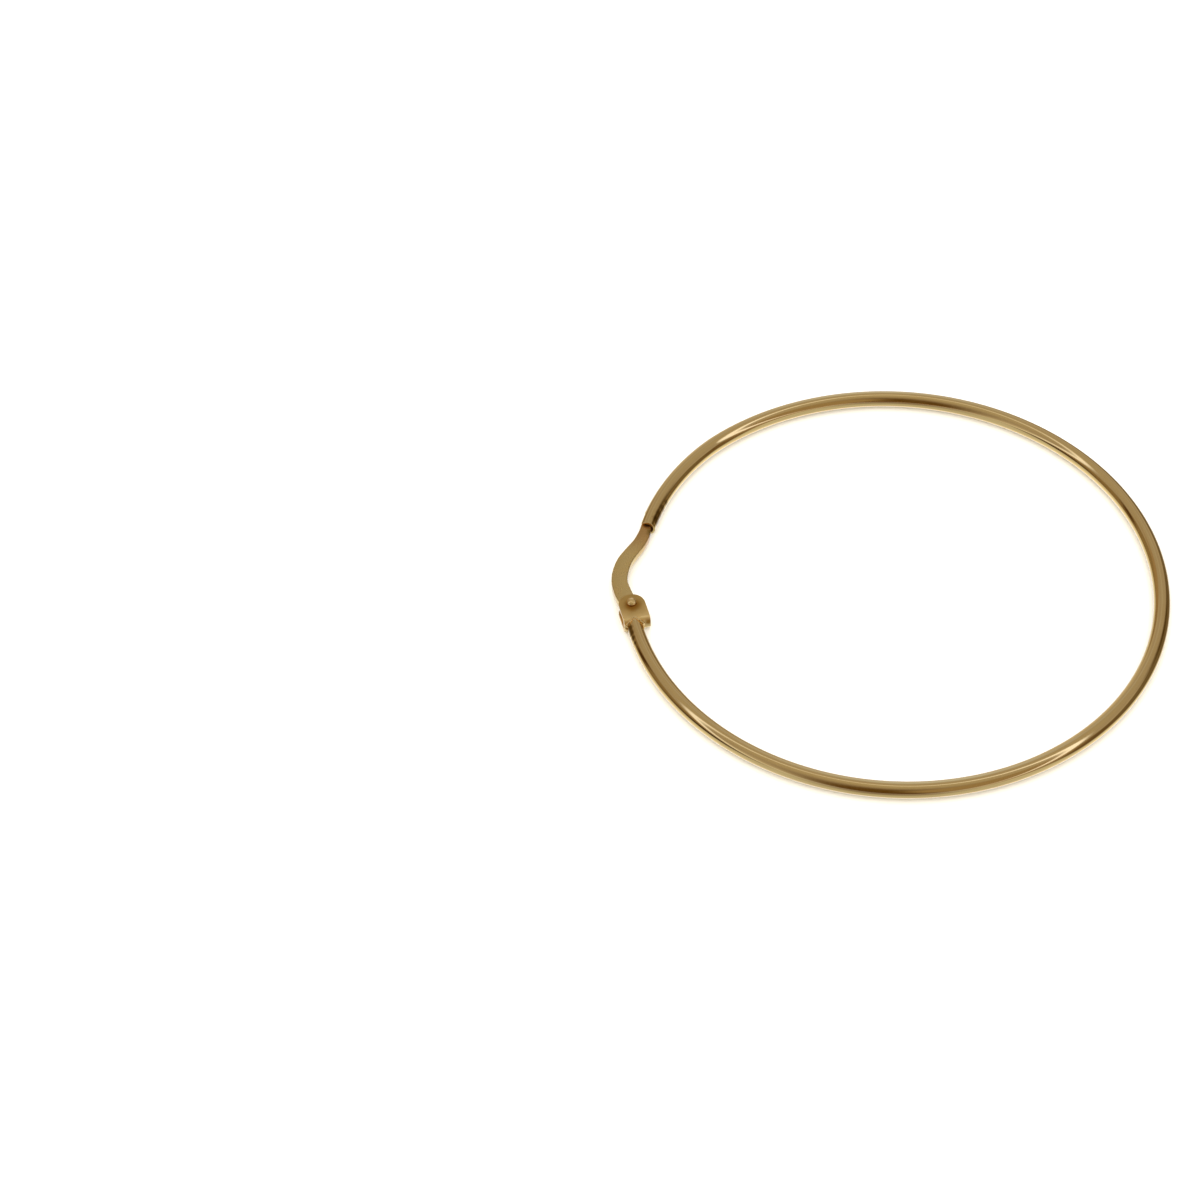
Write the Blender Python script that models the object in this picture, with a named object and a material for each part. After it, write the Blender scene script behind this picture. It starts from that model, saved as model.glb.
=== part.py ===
"""Hoop earring: a thin hollow gold tube bent into a ring, closed by a hinged swan-neck ear wire.

The earring lies on its side, as it would on a table. Units are metres and +Z is up. The origin is
the centre of the ring's circle, on the surface that the earring lies on, and the closure is at -X.
Angles are counted from +X, anticlockwise as seen from above: the tube starts in the hinge bracket
just past the closure, runs round through 0 degrees and ends in an open mouth on its other side.
"""

import math

import bpy
from mathutils import Matrix, Vector

MM = 0.001

# Driving sizes of the ring
HOOP_OUTSIDE_DIAMETER = 50.0 * MM
TUBE_DIAMETER = 1.5 * MM
TUBE_WALL = 0.2 * MM
CLOSURE_LENGTH = 10.22 * MM      # straight distance from the hinge pin to the tube's mouth
END_TUCK = 0.59 * MM             # how far the mouth sits inside the ring's circle
END_BEND_LENGTH = 13.0 * MM      # length of tube over which it leaves the circle
END_BEND_POWER = 1.2             # how softly it starts to: 1 would be a kink

# Driving sizes of the ear wire, a flat strip that stands on edge to the ring's plane
EAR_WIRE_WIDTH = 1.6 * MM        # at the eye; the strip narrows from there to its tongue
EAR_WIRE_THICKNESS = 0.8 * MM
EAR_WIRE_RISE = 1.58 * MM        # how far the swan neck bulges out of the straight line
EYE_DIAMETER = 2.2 * MM
TONGUE_LENGTH = 1.3 * MM         # length of the tip that lies inside the mouth

# Driving sizes of the hinge
PIN_DIAMETER = 0.6 * MM
PIN_HEAD_LEDGE = 0.14 * MM       # how far the domed head stands over the shank, all round
PIN_HEAD_HEIGHT = 0.26 * MM
PIN_HEAD_DEGREES = 75            # the dome's arc, whose last stretch is left flat
WEB_THICKNESS = 0.4 * MM
EYE_BACK_ROOM = 0.75 * MM        # free space between the eye and the bracket's web
EAR_OVERHANG = 0.12 * MM         # how far the bracket's ears stand over the eye at its sides
EAR_REACH = 1.02 * MM            # how far the ears reach past the pin's axis
PIN_INSET = 0.07 * MM            # how far the pin sits inside the ring's circle
WEB_INSET = 0.26 * MM            # how far the middle of the web does
FOLD_RADIUS = 0.48 * MM          # outside radius of the bracket's two folds
EDGE_ROUND = 0.1 * MM
FOLD_LIMIT = 0.45                # largest share of a height that a fold's radius may take
EDGE_LIMIT = 0.3                 # largest share of a strip's thickness that its edges may take

# Clearances between pieces that are not soldered
EYE_SIDE_CLEARANCE = 0.075 * MM
PIN_CLEARANCE = 0.05 * MM
HEAD_CLEARANCE = 0.03 * MM
TONGUE_SIDE_PLAY = 0.075 * MM
TONGUE_CLEARANCE = 0.1 * MM
SLOT_END_CLEARANCE = 0.4 * MM

# Facets
RING_STEPS = 120
TUBE_SIDES = 16
STRIP_STEPS = 30
TONGUE_STEPS = 4
ROUND_SIDES = 24
ARC_STEPS = 6

# Sizes that follow
RING_RADIUS = (HOOP_OUTSIDE_DIAMETER - TUBE_DIAMETER) / 2
TUBE_RADIUS = TUBE_DIAMETER / 2
BORE_RADIUS = TUBE_RADIUS - TUBE_WALL
LIE_HEIGHT = TUBE_RADIUS         # the tube's centre line above the surface

TONGUE_WIDTH = 2 * (BORE_RADIUS - TONGUE_SIDE_PLAY)
TONGUE_THICKNESS = 0.64 * 2 * BORE_RADIUS
TONGUE_OFFSET = 0.2 * BORE_RADIUS       # the tongue lies towards the outside of the bore
MOUTH_SLOT_HEIGHT = TONGUE_THICKNESS + 2 * TONGUE_CLEARANCE
MOUTH_SLOT_LENGTH = TONGUE_LENGTH + SLOT_END_CLEARANCE

EYE_RADIUS = EYE_DIAMETER / 2
BRACKET_HEIGHT = TUBE_DIAMETER           # as high as the tube, so that the earring lies level
BRACKET_WIDTH = EYE_DIAMETER + 2 * EAR_OVERHANG
BRACKET_BACK = EYE_RADIUS + EYE_BACK_ROOM + WEB_THICKNESS
BRACKET_SLOT = EAR_WIRE_THICKNESS + 2 * EYE_SIDE_CLEARANCE
TUBE_SEAT = WEB_THICKNESS + EYE_BACK_ROOM / 2    # how deep the tube is let in before the slot is cut
PIN_RADIUS = PIN_DIAMETER / 2
PIN_HEAD_RADIUS = PIN_RADIUS + PIN_HEAD_LEDGE
PIN_COUNTERSINK = PIN_HEAD_LEDGE         # depth and flare of the rivet's flush lower end

HALF_CLOSURE = math.asin(CLOSURE_LENGTH / 2 / RING_RADIUS)
PIN_ANGLE = -math.pi + HALF_CLOSURE
MOUTH_ANGLE = math.pi - HALF_CLOSURE
WEB_ANGLE = PIN_ANGLE + 2 * math.asin(BRACKET_BACK / 2 / RING_RADIUS)

# Swan neck of the ear wire, read from the pin to the mouth.
# along: share of the straight line from the pin to the mouth
# rise: share of EAR_WIRE_RISE, outwards
# narrow: 0 is the strip's full width, 1 is the tongue's
# thin: 0 is the strip's full thickness, 1 is the tongue's
NECK_COLUMNS = ("along", "rise", "narrow", "thin")
NECK_SECTIONS = (
    (0.00, 0.00, 0.00, 0.0),
    (0.09, 0.42, 0.00, 0.0),
    (0.16, 0.66, 0.02, 0.0),
    (0.27, 0.93, 0.18, 0.0),
    (0.38, 1.00, 0.20, 0.0),
    (0.53, 0.89, 0.31, 0.0),
    (0.65, 0.61, 0.46, 0.2),
    (0.78, 0.24, 0.59, 0.4),
    (0.90, 0.04, 0.73, 0.7),
    (1.00, 0.00, 1.00, 1.0),
)


def clear_scene():
    for item in list(bpy.data.objects):
        bpy.data.objects.remove(item, do_unlink=True)


def gold(name, colour, roughness):
    material = bpy.data.materials.new(name)
    material.use_nodes = True
    shader = material.node_tree.nodes["Principled BSDF"]
    shader.inputs["Base Color"].default_value = (*colour, 1.0)
    shader.inputs["Metallic"].default_value = 1.0
    shader.inputs["Roughness"].default_value = roughness
    return material


def new_object(name, points, faces, matrix=None, material=None):
    """Make a closed mesh object whose points are given in the object's own frame."""
    mesh = bpy.data.meshes.new(name)
    mesh.from_pydata([tuple(p) for p in points], [], faces)
    mesh.update()
    item = bpy.data.objects.new(name, mesh)
    bpy.context.scene.collection.objects.link(item)
    if matrix is not None:
        item.matrix_world = matrix
    if material is not None:
        mesh.materials.append(material)
    return item


def make_cutter(item):
    """Keep a helper solid out of the model itself."""
    item.hide_render = True
    item.display_type = "WIRE"
    return item


def combine(item, operation, helper):
    """Join a helper solid to an object, cut it away or keep only what they share."""
    modifier = item.modifiers.new(operation.title() + "_" + helper.name, "BOOLEAN")
    modifier.operation = operation
    modifier.solver = "EXACT"
    modifier.object = helper


def shade_round(item, sharp_degrees=35):
    item.data.shade_smooth()
    item.data.set_sharp_from_angle(angle=math.radians(sharp_degrees))


def frame_at(place, heading):
    """Object frame with X along the heading, Y towards the ring's outside and Z up."""
    forward = Vector((heading[0], heading[1], 0.0)).normalized()
    outward = Vector((-forward.y, forward.x, 0.0))
    matrix = Matrix((forward, outward, Vector((0.0, 0.0, 1.0)))).transposed().to_4x4()
    matrix.translation = place
    return matrix


def ring_point(angle):
    """Point of the tube's centre line, with the gentle tuck of its last stretch."""
    bend_start = MOUTH_ANGLE - END_BEND_LENGTH / RING_RADIUS
    share = max(0.0, (angle - bend_start) / (MOUTH_ANGLE - bend_start))
    radius = RING_RADIUS - END_TUCK * share ** END_BEND_POWER
    return Vector((radius * math.cos(angle), radius * math.sin(angle), LIE_HEIGHT))


def ring_heading(angle):
    """Direction in which the tube runs towards its mouth."""
    step = 0.001
    return (ring_point(angle + step) - ring_point(angle - step)).normalized()


def loft(rings, close_start=True, close_end=True):
    """Points and faces of a skin through rings of equally many points."""
    count = len(rings[0])
    points = [point for ring in rings for point in ring]
    faces = []
    for row in range(len(rings) - 1):
        low = row * count
        high = low + count
        for side in range(count):
            after = (side + 1) % count
            faces.append((low + side, low + after, high + after, high + side))
    if close_start:
        faces.append(tuple(reversed(range(count))))
    if close_end:
        faces.append(tuple(range(len(points) - count, len(points))))
    return points, faces


def turned(name, profile, matrix, material=None):
    """Solid turned about its own Z axis from (radius, height) pairs, bottom to top."""
    rings = []
    for radius, height in profile:
        ring = []
        for side in range(ROUND_SIDES):
            turn = math.tau * side / ROUND_SIDES
            ring.append((radius * math.cos(turn), radius * math.sin(turn), height))
        rings.append(ring)
    points, faces = loft(rings)
    return new_object(name, points, faces, matrix, material)


def slab(name, outline, low, high, matrix):
    """Solid with an (x, y) outline, anticlockwise from above, between two heights."""
    rings = [[(x, y, height) for x, y in outline] for height in (low, high)]
    points, faces = loft(rings)
    return new_object(name, points, faces, matrix)


def arc(centre_x, centre_y, radius, start_degrees, end_degrees, steps=ARC_STEPS):
    points = []
    for step in range(steps + 1):
        turn = math.radians(start_degrees + (end_degrees - start_degrees) * step / steps)
        points.append((centre_x + radius * math.cos(turn), centre_y + radius * math.sin(turn)))
    return points


def tube_ring(angle, radius):
    """Circle of points round the tube's centre line, anticlockwise as seen from the mouth."""
    centre = ring_point(angle)
    heading = ring_heading(angle)
    inward = Vector((-heading.y, heading.x, 0.0))
    up = Vector((0.0, 0.0, 1.0))
    ring = []
    for side in range(TUBE_SIDES):
        turn = math.tau * side / TUBE_SIDES
        ring.append(centre + radius * (math.cos(turn) * inward + math.sin(turn) * up))
    return ring


def build_tube(material):
    """Hollow tube: blind where it is soldered to the bracket, open at its mouth."""
    start = WEB_ANGLE - TUBE_SEAT / RING_RADIUS
    bore_start = WEB_ANGLE + TUBE_WALL / RING_RADIUS
    outside = []
    bore = []
    for step in range(RING_STEPS + 1):
        share = step / RING_STEPS
        outside.append(tube_ring(start + (MOUTH_ANGLE - start) * share, TUBE_RADIUS))
        bore.append(tube_ring(bore_start + (MOUTH_ANGLE - bore_start) * share, BORE_RADIUS))
    # The skin goes out along the tube, over the rim of the mouth and back along the bore.
    points, faces = loft(outside + bore[::-1])
    return new_object("hoop_tube", points, faces, material=material)


def inset_point(angle, inset):
    """Point inside the ring's circle, at the height of the bracket's underside."""
    radius = RING_RADIUS - inset
    bottom = LIE_HEIGHT - BRACKET_HEIGHT / 2
    return Vector((radius * math.cos(angle), radius * math.sin(angle), bottom))


def bracket_frame():
    """Frame of the bracket: its origin is on the pin's axis, at the bracket's underside."""
    pin = inset_point(PIN_ANGLE, PIN_INSET)
    web = inset_point(WEB_ANGLE, WEB_INSET)
    return frame_at(pin, pin - web)


def across_solid(name, side_view):
    """Cutter with an (along, height) outline, straight across the bracket and past its sides."""
    rings = []
    for across in (BRACKET_WIDTH, -BRACKET_WIDTH):
        rings.append([(x, across, z) for x, z in side_view])
    points, faces = loft(rings)
    return make_cutter(new_object(name, points, faces, bracket_frame()))


def build_bracket_block():
    """Outer form of the folded sheet: two round folds at the web and round-ended ears."""
    back = -BRACKET_BACK
    fold = min(FOLD_RADIUS, FOLD_LIMIT * BRACKET_HEIGHT)
    side_view = arc(back + fold, fold, fold, 180, 270)
    side_view += [(BRACKET_WIDTH, 0.0), (BRACKET_WIDTH, BRACKET_HEIGHT)]
    side_view += arc(back + fold, BRACKET_HEIGHT - fold, fold, 90, 180)
    block = across_solid("bracket_block", side_view)

    # Plan view: square at the web, half a circle at the ears' ends
    half = BRACKET_WIDTH / 2
    plan = [(2 * back, half), (2 * back, -half)]
    plan += arc(EAR_REACH - half, 0.0, half, -90, 90, 2 * ARC_STEPS)
    outline = slab("bracket_plan", plan, -BRACKET_HEIGHT, 2 * BRACKET_HEIGHT, bracket_frame())
    combine(block, "INTERSECT", make_cutter(outline))
    return block


def build_bracket_slot():
    """Room between the ears, from the web's inner side to past the ears' ends."""
    ear = (BRACKET_HEIGHT - BRACKET_SLOT) / 2
    corner = min(EDGE_ROUND, FOLD_LIMIT * BRACKET_SLOT)
    inside = WEB_THICKNESS - BRACKET_BACK
    side_view = arc(inside + corner, ear + corner, corner, 180, 270, 2)
    side_view += [(BRACKET_WIDTH, ear), (BRACKET_WIDTH, BRACKET_HEIGHT - ear)]
    side_view += arc(inside + corner, BRACKET_HEIGHT - ear - corner, corner, 90, 180, 2)
    return across_solid("bracket_slot", side_view)


def pin_profile(grow):
    """Rivet with a countersunk lower end, as (radius, height); grow widens it into its hole."""
    low = -BRACKET_HEIGHT if grow else HEAD_CLEARANCE
    flare = PIN_RADIUS + PIN_COUNTERSINK + grow
    return [
        (flare, low),
        (flare, HEAD_CLEARANCE),
        (PIN_RADIUS + grow, HEAD_CLEARANCE + PIN_COUNTERSINK),
    ]


def build_pin(material):
    """Rivet that the ear wire turns on, with a domed head over the upper ear."""
    seat = BRACKET_HEIGHT + HEAD_CLEARANCE
    profile = pin_profile(0.0)[1:] + [(PIN_RADIUS, seat)]
    dome = arc(0.0, 0.0, 1.0, 0, PIN_HEAD_DEGREES)
    for out, up in dome:
        profile.append((PIN_HEAD_RADIUS * out, seat + PIN_HEAD_HEIGHT * up))
    pin = turned("hinge_pin", profile, bracket_frame(), material)
    shade_round(pin)
    return pin


def build_pin_hole():
    profile = pin_profile(PIN_CLEARANCE)
    profile.append((PIN_RADIUS + PIN_CLEARANCE, 2 * BRACKET_HEIGHT))
    return make_cutter(turned("ear_holes", profile, bracket_frame()))


def build_mouth_slot():
    """Slot through the tube's outer wall at the mouth, where the tongue swings out."""
    frame = frame_at(ring_point(MOUTH_ANGLE), -ring_heading(MOUTH_ANGLE))
    half = MOUTH_SLOT_HEIGHT / 2
    outline = [
        (-MOUTH_SLOT_LENGTH, BORE_RADIUS / 4),
        (MOUTH_SLOT_LENGTH, BORE_RADIUS / 4),
        (MOUTH_SLOT_LENGTH, 2 * TUBE_RADIUS),
        (-MOUTH_SLOT_LENGTH, 2 * TUBE_RADIUS),
    ]
    return make_cutter(slab("mouth_slot", outline, -half, half, frame))


def build_hoop(material):
    """Tube and bracket, soldered into one piece of metal."""
    hoop = build_tube(material)
    combine(hoop, "UNION", build_bracket_block())
    combine(hoop, "DIFFERENCE", build_bracket_slot())
    combine(hoop, "DIFFERENCE", build_pin_hole())
    combine(hoop, "DIFFERENCE", build_mouth_slot())
    shade_round(hoop)
    return hoop


def neck_curve(name, along, end_slope):
    """Smooth value of one column of the neck's table at a share of the way to the mouth."""
    column = NECK_COLUMNS.index(name)
    rows = NECK_SECTIONS
    slopes = []
    for row in range(len(rows)):
        before = rows[max(row - 1, 0)]
        after = rows[min(row + 1, len(rows) - 1)]
        slopes.append((after[column] - before[column]) / (after[0] - before[0]))
    slopes[-1] = end_slope
    for row in range(len(rows) - 1):
        low, high = rows[row], rows[row + 1]
        if along <= high[0] or row == len(rows) - 2:
            break
    span = high[0] - low[0]
    t = (along - low[0]) / span
    return (
        low[column] * (1 + 2 * t) * (1 - t) ** 2
        + slopes[row] * span * t * (1 - t) ** 2
        + high[column] * t * t * (3 - 2 * t)
        - slopes[row + 1] * span * t * t * (1 - t)
    )


def strip_section(place, heading, width, thickness):
    """Rectangle with cut corners across the strip, seen against its heading."""
    across = Vector((-heading.y, heading.x, 0.0)).normalized()
    up = Vector((0.0, 0.0, 1.0))
    corner = min(EDGE_ROUND, EDGE_LIMIT * thickness)
    a, b = width / 2, thickness / 2
    corners = (
        (a, -b + corner),
        (a, b - corner),
        (a - corner, b),
        (-a + corner, b),
        (-a, b - corner),
        (-a, -b + corner),
        (-a + corner, -b),
        (a - corner, -b),
    )
    return [place + x * across + z * up for x, z in corners]


def neck_route():
    """Places, widths and thicknesses of the strip, from the pin's axis to the tongue's tip."""
    pin = inset_point(PIN_ANGLE, PIN_INSET)
    pin.z = LIE_HEIGHT
    into_tube = -ring_heading(MOUTH_ANGLE)
    mouth_outward = Vector((-into_tube.y, into_tube.x, 0.0))
    mouth = ring_point(MOUTH_ANGLE) + TONGUE_OFFSET * mouth_outward
    line = mouth - pin
    outward = Vector((-line.y, line.x, 0.0)).normalized()
    forward = line.normalized()
    end_slope = into_tube.dot(outward) / into_tube.dot(forward) * line.length / EAR_WIRE_RISE

    route = []
    for step in range(STRIP_STEPS + 1):
        along = step / STRIP_STEPS
        rise = neck_curve("rise", along, end_slope)
        narrow = neck_curve("narrow", along, 0.0)
        thin = min(1.0, max(0.0, neck_curve("thin", along, 0.0)))
        place = pin + along * line + rise * EAR_WIRE_RISE * outward
        width = EAR_WIRE_WIDTH + (TONGUE_WIDTH - EAR_WIRE_WIDTH) * narrow
        thickness = EAR_WIRE_THICKNESS + (TONGUE_THICKNESS - EAR_WIRE_THICKNESS) * thin
        route.append((place, width, thickness))
    for step in range(1, TONGUE_STEPS + 1):
        reach = TONGUE_LENGTH * step / TONGUE_STEPS
        route.append((mouth + reach * into_tube, TONGUE_WIDTH, TONGUE_THICKNESS))
    blunt = route[-1][0] + EDGE_ROUND * into_tube
    route.append((blunt, TONGUE_WIDTH - 2 * EDGE_ROUND, TONGUE_THICKNESS - 2 * EDGE_ROUND))
    return route


def build_ear_wire(material):
    """Flat strip with an eye at the hinge; its origin is on the pin's axis."""
    route = neck_route()
    origin = route[0][0]
    rings = []
    for index, (place, width, thickness) in enumerate(route):
        before = route[max(index - 1, 0)][0]
        after = route[min(index + 1, len(route) - 1)][0]
        rings.append(strip_section(place - origin, after - before, width, thickness))
    points, faces = loft(rings)
    place = Matrix.Translation(origin)
    wire = new_object("ear_wire", points, faces, place, material)

    half = EAR_WIRE_THICKNESS / 2
    corner = min(EDGE_ROUND, EDGE_LIMIT * EAR_WIRE_THICKNESS)
    disc = [
        (EYE_RADIUS - corner, -half),
        (EYE_RADIUS, -half + corner),
        (EYE_RADIUS, half - corner),
        (EYE_RADIUS - corner, half),
    ]
    combine(wire, "UNION", make_cutter(turned("eye_disc", disc, place)))

    hole_radius = PIN_RADIUS + PIN_CLEARANCE
    hole = [(hole_radius, -EAR_WIRE_THICKNESS), (hole_radius, EAR_WIRE_THICKNESS)]
    combine(wire, "DIFFERENCE", make_cutter(turned("eye_hole", hole, place)))
    shade_round(wire)
    return wire


def main():
    clear_scene()
    polished = gold("polished_gold", (0.78, 0.57, 0.26), 0.22)
    pin_gold = gold("pin_gold", (0.80, 0.62, 0.32), 0.25)
    wire_gold = gold("wire_gold", (0.74, 0.54, 0.25), 0.28)
    build_hoop(polished)
    build_pin(pin_gold)
    build_ear_wire(wire_gold)


main()
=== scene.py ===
# %% [markdown]
# # A gold hoop earring
# This lesson dresses the plain CAD model of a hoop earring for its portrait. The real earring is a
# thin hollow tube bent into a ring. One end is soldered to a folded hinge, a flat swan-neck wire
# is riveted into that hinge, and the wire's free end snaps into the open mouth at the tube's other
# end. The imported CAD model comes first, because every piece below has to sit where it says.

import math

import bmesh
import bpy
from mathutils import Matrix, Vector, noise


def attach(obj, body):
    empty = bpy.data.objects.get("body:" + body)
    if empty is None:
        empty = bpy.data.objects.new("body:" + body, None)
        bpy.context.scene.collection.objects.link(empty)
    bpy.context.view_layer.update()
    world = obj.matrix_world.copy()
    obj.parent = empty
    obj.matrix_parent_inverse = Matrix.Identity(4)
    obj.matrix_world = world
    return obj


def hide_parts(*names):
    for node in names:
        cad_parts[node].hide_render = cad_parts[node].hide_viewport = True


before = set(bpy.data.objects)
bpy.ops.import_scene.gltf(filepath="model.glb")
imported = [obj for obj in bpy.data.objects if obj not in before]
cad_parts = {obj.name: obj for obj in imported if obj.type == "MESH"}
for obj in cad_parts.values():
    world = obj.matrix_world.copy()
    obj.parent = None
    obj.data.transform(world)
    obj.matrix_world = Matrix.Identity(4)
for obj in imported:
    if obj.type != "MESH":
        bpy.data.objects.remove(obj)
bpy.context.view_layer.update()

# %% [markdown]
# ## Sizes
# The sizes are those of the CAD model, so that a fine mesh can lie right on the faceted solids.
# The origin is the centre of the ring's circle on the table, +Z is up and the closure is at -X.
# Angles run anticlockwise from +X: the tube starts at the hinge and ends in its open mouth.

# %% Sizes of the ring, the hinge and the wire
MM = 0.001
TUBE_DIAMETER = 1.5 * MM
TUBE_RADIUS = TUBE_DIAMETER / 2
TUBE_WALL = 0.2 * MM
BORE_RADIUS = TUBE_RADIUS - TUBE_WALL
RING_OUTSIDE = 25.0 * MM
RING_RADIUS = RING_OUTSIDE - TUBE_RADIUS
CLOSURE_LENGTH = 10.22 * MM
END_TUCK = 0.59 * MM
END_BEND_LENGTH = 13.0 * MM
END_BEND_POWER = 1.2

EYE_RADIUS = 1.1 * MM
EAR_MARGIN = 0.24 * MM
WEB_THICKNESS = 0.4 * MM
ROOM_BEHIND_EYE = 0.75 * MM
BRACKET_BACK = EYE_RADIUS + ROOM_BEHIND_EYE + WEB_THICKNESS
BRACKET_WIDTH = 2 * EYE_RADIUS + EAR_MARGIN
EAR_REACH = 1.02 * MM
FOLD_RADIUS = 0.48 * MM
PIN_INSET = 0.07 * MM
WEB_INSET = 0.26 * MM

HALF_CLOSURE = math.asin(CLOSURE_LENGTH / 2 / RING_RADIUS)
PIN_ANGLE = -math.pi + HALF_CLOSURE
MOUTH_ANGLE = math.pi - HALF_CLOSURE
WEB_ANGLE = PIN_ANGLE + 2 * math.asin(BRACKET_BACK / 2 / RING_RADIUS)
UP = Vector((0.0, 0.0, 1.0))


def ring_point(angle):
    """Point of the tube's centre line; the last stretch tucks in a little towards the mouth."""
    bend_start = MOUTH_ANGLE - END_BEND_LENGTH / RING_RADIUS
    share = max(0.0, (angle - bend_start) / (MOUTH_ANGLE - bend_start))
    radius = RING_RADIUS - END_TUCK * share ** END_BEND_POWER
    return Vector((radius * math.cos(angle), radius * math.sin(angle), TUBE_RADIUS))


def ring_heading(angle):
    step = 0.001
    return (ring_point(angle + step) - ring_point(angle - step)).normalized()


def ring_outward(angle):
    """Level direction square to the tube, away from the ring's middle."""
    heading = ring_heading(angle)
    return Vector((heading.y, -heading.x, 0.0))


def frame_at(place, heading):
    """Frame with X along the heading, Y towards the ring's outside and Z up."""
    forward = Vector((heading[0], heading[1], 0.0)).normalized()
    outward = Vector((-forward.y, forward.x, 0.0))
    matrix = Matrix((forward, outward, UP)).transposed().to_4x4()
    matrix.translation = place
    return matrix


def hinge_point(angle, inset):
    radius = RING_RADIUS - inset
    return Vector((radius * math.cos(angle), radius * math.sin(angle), 0.0))


PIN_PLACE = hinge_point(PIN_ANGLE, PIN_INSET)
HINGE_FRAME = frame_at(PIN_PLACE, PIN_PLACE - hinge_point(WEB_ANGLE, WEB_INSET))
print("hinge pin at", [round(c / MM, 3) for c in PIN_PLACE], "mm")

# %% [markdown]
# ## Camera
# The portrait was taken from well above the table with a long lens, so the ring shows as a gentle
# oval. A long lens far away is set up here with a look-at matrix rather than typed angles, because
# the place and the aim are easier to check. The camera is tipped a little about its own view.

# %% Camera
LENS_MM = 92.61
CAMERA_PLACE = Vector((-26.94, -190.86, 208.02)) * MM
CAMERA_AIM = Vector((-26.94, -1.09, 0.0)) * MM
CAMERA_ROLL = math.radians(-1.59)
SENSOR_MM = 36.0
NEAREST_SEEN = 0.01
PHOTO_TURN = Matrix.Rotation(math.radians(7.0), 4, "Z")
PHOTO_LIFT = Vector((0.0, 0.0, TUBE_RADIUS))

camera_data = bpy.data.cameras.new("portrait_camera")
camera_data.lens = LENS_MM
camera_data.sensor_width = SENSOR_MM
camera_data.clip_start = NEAREST_SEEN
camera = bpy.data.objects.new("portrait_camera", camera_data)
bpy.context.scene.collection.objects.link(camera)
view = PHOTO_TURN @ (CAMERA_AIM - CAMERA_PLACE)
turn = view.to_track_quat("-Z", "Y").to_matrix().to_4x4() @ Matrix.Rotation(CAMERA_ROLL, 4, "Z")
camera.matrix_world = Matrix.Translation(PHOTO_TURN @ CAMERA_PLACE + PHOTO_LIFT) @ turn
bpy.context.scene.camera = camera
bpy.context.scene.view_settings.view_transform = "Standard"
print("camera is", round(view.length / MM), "mm from the middle of the view")

# %% [markdown]
# ## Helpers for meshes
# Most pieces here are lofts: closed outlines with equally many points, joined by quads. One small
# function makes them all. Crisp metal also needs its edges broken, as a file or a polishing wheel
# would do, so that they catch a line of light. A Bevel modifier does that here, and Weighted
# Normal keeps the flats between the bevels looking flat.

# %% Helpers for meshes
EDGE_SEGMENTS = 3
CREASE_DEGREES = 40
FLATS_WEIGHT = 60
WELD_DISTANCE = 1e-6 * MM


def new_piece(name, points, faces, matrix=None):
    mesh = bpy.data.meshes.new(name)
    mesh.from_pydata([tuple(p) for p in points], [], faces)
    mesh.update()
    piece = bpy.data.objects.new(name, mesh)
    bpy.context.scene.collection.objects.link(piece)
    if matrix is not None:
        piece.matrix_world = matrix
    return piece


def loft(rings, close_start=True, close_end=True):
    """Points and faces of a skin through rings of equally many points."""
    count = len(rings[0])
    points = [point for ring in rings for point in ring]
    faces = []
    for row in range(len(rings) - 1):
        low = row * count
        high = low + count
        for side in range(count):
            after = (side + 1) % count
            faces.append((low + side, low + after, high + after, high + side))
    if close_start:
        faces.append(tuple(reversed(range(count))))
    if close_end:
        faces.append(tuple(range(len(points) - count, len(points))))
    return points, faces


def arc(centre_x, centre_y, radius, start_degrees, end_degrees, steps):
    points = []
    for step in range(steps + 1):
        angle = math.radians(start_degrees + (end_degrees - start_degrees) * step / steps)
        points.append((centre_x + radius * math.cos(angle), centre_y + radius * math.sin(angle)))
    return points


def turned(name, profile, sides, matrix=None):
    """Solid turned on a lathe from (radius, height) pairs, bottom to top."""
    rings = []
    for radius, height in profile:
        ring = []
        for side in range(sides):
            angle = math.tau * side / sides
            ring.append((radius * math.cos(angle), radius * math.sin(angle), height))
        rings.append(ring)
    points, faces = loft(rings)
    return new_piece(name, points, faces, matrix)


def combine(piece, operation, helper):
    """Join a helper solid to a piece, cut it away or keep only what they share, at once."""
    modifier = piece.modifiers.new(operation, "BOOLEAN")
    modifier.operation = operation
    modifier.solver = "EXACT"
    modifier.object = helper
    apply_modifiers(piece)
    bpy.data.objects.remove(helper, do_unlink=True)


def apply_modifiers(piece):
    """Keep the shape that the modifiers give and drop the modifiers."""
    evaluated = piece.evaluated_get(bpy.context.evaluated_depsgraph_get())
    finished = bpy.data.meshes.new_from_object(evaluated)
    finished.name = piece.name
    piece.modifiers.clear()
    piece.data = finished


def face_outwards(piece):
    """Weld points that coincide and turn every face to the outside."""
    mesh = bmesh.new()
    mesh.from_mesh(piece.data)
    bmesh.ops.remove_doubles(mesh, verts=mesh.verts, dist=WELD_DISTANCE)
    bmesh.ops.recalc_face_normals(mesh, faces=mesh.faces)
    mesh.to_mesh(piece.data)
    mesh.free()


def break_edges(piece, width, over_degrees):
    """Round every edge that is sharper than an angle."""
    bevel = piece.modifiers.new("broken_edges", "BEVEL")
    bevel.width = width
    bevel.segments = EDGE_SEGMENTS
    bevel.limit_method = "ANGLE"
    bevel.angle_limit = math.radians(over_degrees)
    bevel.miter_outer = "MITER_ARC"
    apply_modifiers(piece)


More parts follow.
